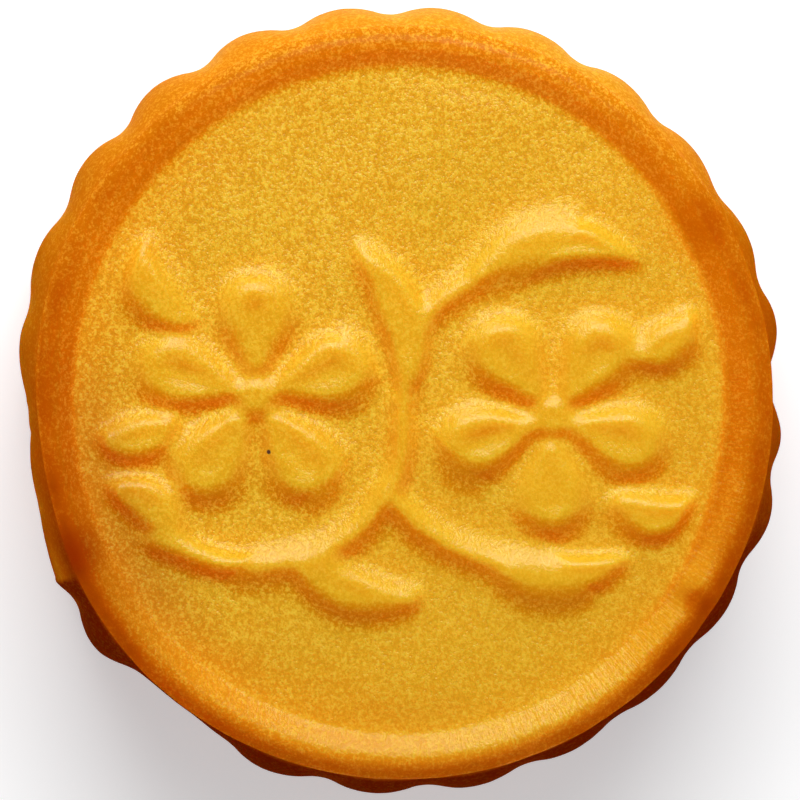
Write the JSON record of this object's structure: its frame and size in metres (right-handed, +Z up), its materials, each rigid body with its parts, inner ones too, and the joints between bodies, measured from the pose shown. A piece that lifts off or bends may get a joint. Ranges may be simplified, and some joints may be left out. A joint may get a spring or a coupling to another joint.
{
  "type": "mooncake",
  "caption": "Round baked mooncake with a fluted side, a raised rim and a blossom spray pressed into its golden face.",
  "frame": {"origin": "under the middle of the flat base", "axes": "+Z up through the pressed face, +Y towards the top of the blossom spray, +X to its right"},
  "size_m": [0.0718, 0.0742, 0.0273],
  "materials": {
    "baked_crust": "golden baked crust with a soft egg glaze, browner on the rim and side"
  },
  "bodies": {
    "root": {"mooncake": "baked_crust"}
  },
  "joints": []
}
